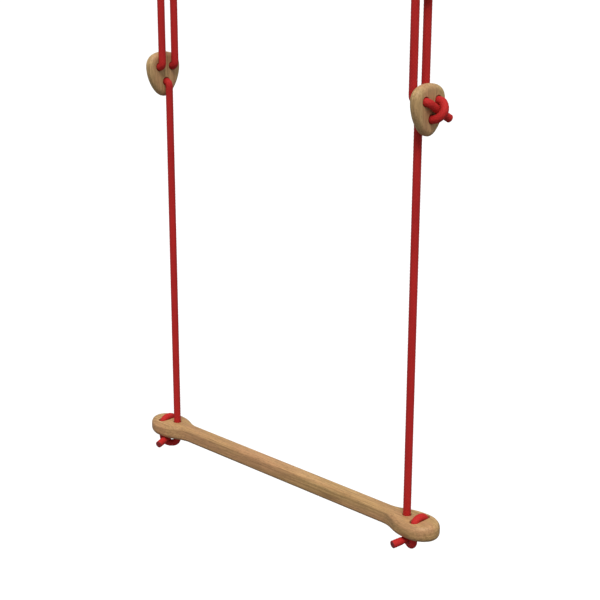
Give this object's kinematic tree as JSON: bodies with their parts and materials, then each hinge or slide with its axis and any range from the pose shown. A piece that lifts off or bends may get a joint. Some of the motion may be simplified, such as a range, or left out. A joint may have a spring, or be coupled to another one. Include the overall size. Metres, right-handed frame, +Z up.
{
  "type": "trapeze swing",
  "caption": "Wooden trapeze swing bar with bulbous laced ends, hung level from doubled ropes with wooden adjusters, steel links and ceiling brackets.",
  "frame": {"origin": "on the ceiling plane, midway between the two ceiling brackets", "axes": "+Z up, out of the ceiling; +X along the bar, +Y away from the user"},
  "size_m": [0.5844, 0.0667, 0.8778],
  "materials": {
    "wood": "fine-sanded pale hardwood with a thin satin oil",
    "rope": "braided cord, matt",
    "steel": "zinc-plated, satin",
    "nylon": "moulded nylon"
  },
  "bodies": {
    "ceiling_mounts": {"left_ceiling_bracket": "steel", "left_axle_bolt": "steel", "left_head_washer": "steel", "left_nut_washer": "steel", "left_lock_nut": "steel", "right_ceiling_bracket": "steel", "right_axle_bolt": "steel", "right_head_washer": "steel", "right_nut_washer": "steel", "right_lock_nut": "steel"},
    "hangers": {"left_hanger_tab": "steel", "left_inner_bush": "nylon", "left_outer_bush": "nylon", "right_hanger_tab": "steel", "right_inner_bush": "nylon", "right_outer_bush": "nylon"},
    "left_link": {"left_link": "steel", "left_link_sleeve": "steel", "left_rope_link_turn": "rope", "left_rope_front_strand": "rope", "left_rope_back_strand": "rope"},
    "left_adjuster": {"left_adjuster": "wood", "left_rope_adjuster_loop": "rope", "left_rope_adjuster_tail": "rope", "left_rope_long_strand": "rope"},
    "left_rope_end": {"left_rope_foot": "rope"},
    "right_link": {"right_link": "steel", "right_link_sleeve": "steel", "right_rope_link_turn": "rope", "right_rope_front_strand": "rope", "right_rope_back_strand": "rope"},
    "right_adjuster": {"right_adjuster": "wood", "right_rope_adjuster_loop": "rope", "right_rope_adjuster_tail": "rope", "right_rope_long_strand": "rope"},
    "right_rope_end": {"right_rope_foot": "rope"},
    "left_rope_bend": {"left_rope_ball": "rope"},
    "right_rope_bend": {"right_rope_ball": "rope"},
    "bar": {"bar": "wood", "left_rope_bar_lacing": "rope", "left_rope_bar_tail": "rope", "right_rope_bar_lacing": "rope", "right_rope_bar_tail": "rope"}
  },
  "joints": [
    {"name": "swing", "type": "hinge", "parent": "ceiling_mounts", "child": "hangers", "pos_m": [0, 0, -0.032], "axis": [1, 0, 0], "range_deg": [-60, 60]},
    {"name": "left_side_sway", "type": "hinge", "parent": "hangers", "child": "left_link", "pos_m": [-0.24, 0, -0.07487], "axis": [0, 1, 0], "range_deg": [-20, 20]},
    {"name": "right_side_sway", "type": "hinge", "parent": "hangers", "child": "right_link", "pos_m": [0.24, 0, -0.07487], "axis": [0, 1, 0], "range_deg": [-21, 21]},
    {"name": "left_adjuster_height", "type": "slide", "parent": "left_link", "child": "left_adjuster", "axis": [0, 0, 1], "range_m": [-0.12, 0.05], "deforming": ["left_rope_front_strand", "left_rope_back_strand"]},
    {"name": "right_adjuster_height", "type": "slide", "parent": "right_link", "child": "right_adjuster", "axis": [0, 0, 1], "range_m": [-0.121, 0.051], "deforming": ["right_rope_front_strand", "right_rope_back_strand"]},
    {"name": "left_rope_length", "type": "slide", "parent": "left_adjuster", "child": "left_rope_end", "axis": [0, 0, 1], "range_m": [-0.101, 0.241], "deforming": ["left_rope_long_strand"]},
    {"name": "right_rope_length", "type": "slide", "parent": "right_adjuster", "child": "right_rope_end", "axis": [0, 0, 1], "range_m": [-0.101, 0.241], "deforming": ["right_rope_long_strand"]},
    {"name": "left_bar_level", "type": "hinge", "parent": "left_rope_end", "child": "left_rope_bend", "pos_m": [-0.24, 0, -0.8275], "axis": [0, 1, 0], "range_deg": [-21, 21]},
    {"name": "right_bar_level", "type": "hinge", "parent": "right_rope_end", "child": "right_rope_bend", "pos_m": [0.24, 0, -0.8275], "axis": [0, 1, 0], "range_deg": [-21, 21]},
    {"name": "bar_roll", "type": "hinge", "parent": "left_rope_bend", "child": "bar", "pos_m": [0, 0, -0.8275], "axis": [1, 0, 0], "range_deg": [-35, 35]}
  ],
  "couplings": [
    {"joint": "right_side_sway", "follows": "left_side_sway", "ratio": 1},
    {"joint": "right_adjuster_height", "follows": "left_adjuster_height", "ratio": 1},
    {"joint": "left_rope_length", "follows": "left_adjuster_height", "ratio": -2},
    {"joint": "right_rope_length", "follows": "left_adjuster_height", "ratio": -2},
    {"joint": "left_bar_level", "follows": "left_side_sway", "ratio": -1},
    {"joint": "right_bar_level", "follows": "left_side_sway", "ratio": -1}
  ]
}
